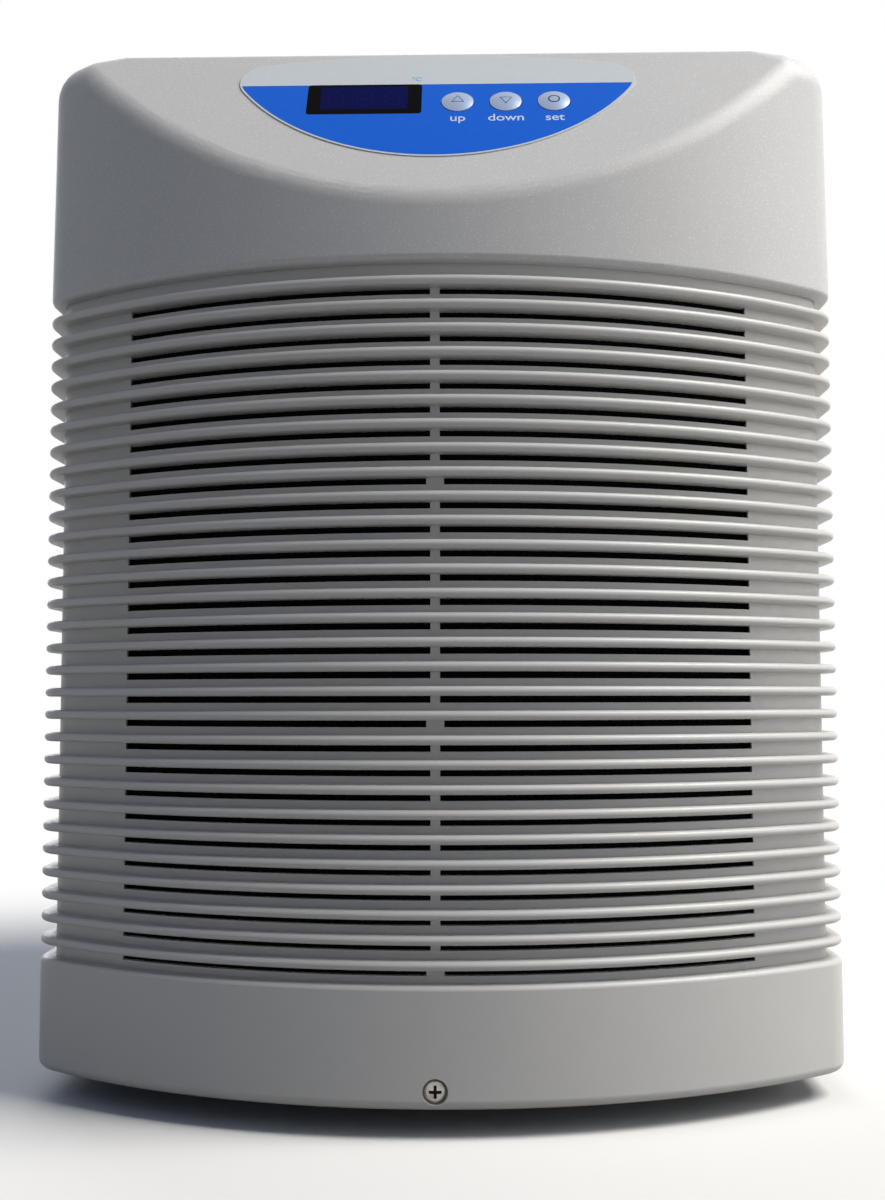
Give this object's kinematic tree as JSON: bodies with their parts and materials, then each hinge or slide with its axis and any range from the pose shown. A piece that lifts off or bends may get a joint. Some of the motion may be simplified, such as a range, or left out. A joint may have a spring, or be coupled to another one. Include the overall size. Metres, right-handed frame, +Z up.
{
  "type": "aquarium chiller",
  "caption": "Compressor chiller for aquarium water, in a moulded case with a bowed ribbed grille, a sloped control face and hose tails at the rear.",
  "frame": {"origin": "on the floor under the middle of the box round the whole part, hose tails included", "axes": "+Z up, the bowed grille faces -Y, the hose tails point along +Y, +X is to the right seen from the front"},
  "size_m": [0.32, 0.424, 0.4185],
  "materials": {
    "shell": "satin",
    "dark_plastic": "satin",
    "zinc_steel": "satin",
    "screw_steel": "polished",
    "rubber": "matte",
    "panel_film": "gloss",
    "window": "gloss",
    "button_silver": "gloss",
    "circuit_board": "satin",
    "display": "gloss",
    "switch": "satin",
    "foam": "matte",
    "fin_aluminium": "satin",
    "copper": "satin",
    "fan_plastic": "satin",
    "motor_steel": "satin",
    "compressor_paint": "gloss",
    "tank_plastic": "satin",
    "titanium": "satin",
    "inlet_plastic": "satin",
    "pin_brass": "polished",
    "core_steel": "satin",
    "can_plastic": "satin"
  },
  "bodies": {
    "body": {"front_grille": "shell", "top_hood": "shell", "case_shell": "shell", "base_pan": "dark_plastic", "rubber_feet": "rubber", "feet_screws": "screw_steel", "grille_screw": "screw_steel", "case_screws": "screw_steel", "hood_screws": "screw_steel", "control_overlay": "panel_film", "display_window": "window", "control_board": "circuit_board", "display_module": "display", "tact_switches": "switch", "board_screws": "screw_steel", "air_filter": "foam", "filter_frame": "dark_plastic", "condenser_fins": "fin_aluminium", "condenser_tubes": "copper", "condenser_end_plates": "zinc_steel", "fan_shroud": "dark_plastic", "fan_bracket": "zinc_steel", "fan_motor": "motor_steel", "compressor": "compressor_paint", "terminal_cover": "dark_plastic", "compressor_grommets": "rubber", "compressor_bolts": "screw_steel", "heat_tank": "tank_plastic", "tank_lid": "tank_plastic", "tank_screws": "screw_steel", "titanium_coil": "titanium", "temp_sensor": "copper", "discharge_pipe": "copper", "filter_drier": "copper", "liquid_pipe": "copper", "capillary_tube": "copper", "suction_pipe": "copper", "inlet_tail": "inlet_plastic", "outlet_tail": "inlet_plastic", "inlet_nut": "inlet_plastic", "outlet_nut": "inlet_plastic", "port_seals": "rubber", "mains_inlet": "inlet_plastic", "inlet_pins": "pin_brass", "inlet_screws": "screw_steel", "top_deck": "zinc_steel", "power_board": "circuit_board", "transformer": "core_steel", "start_capacitor": "can_plastic"},
    "fan": {"fan_rotor": "fan_plastic", "fan_shaft": "screw_steel"},
    "up_key": {"button_up": "button_silver"},
    "down_key": {"button_down": "button_silver"},
    "set_key": {"button_set": "button_silver"}
  },
  "joints": [
    {"name": "fan_spin", "type": "hinge", "parent": "body", "child": "fan", "pos_m": [0, -0.0957, 0.1573], "axis": [0, -1, 0], "continuous": true},
    {"name": "up_press", "type": "slide", "parent": "body", "child": "up_key", "axis": [0, 0.8348, -0.5505], "range_m": [0, 0.0008], "stiffness_N_per_m": 400},
    {"name": "down_press", "type": "slide", "parent": "body", "child": "down_key", "axis": [0, 0.8348, -0.5505], "range_m": [0, 0.0008], "stiffness_N_per_m": 400},
    {"name": "set_press", "type": "slide", "parent": "body", "child": "set_key", "axis": [0, 0.8348, -0.5505], "range_m": [0, 0.0008], "stiffness_N_per_m": 400}
  ]
}
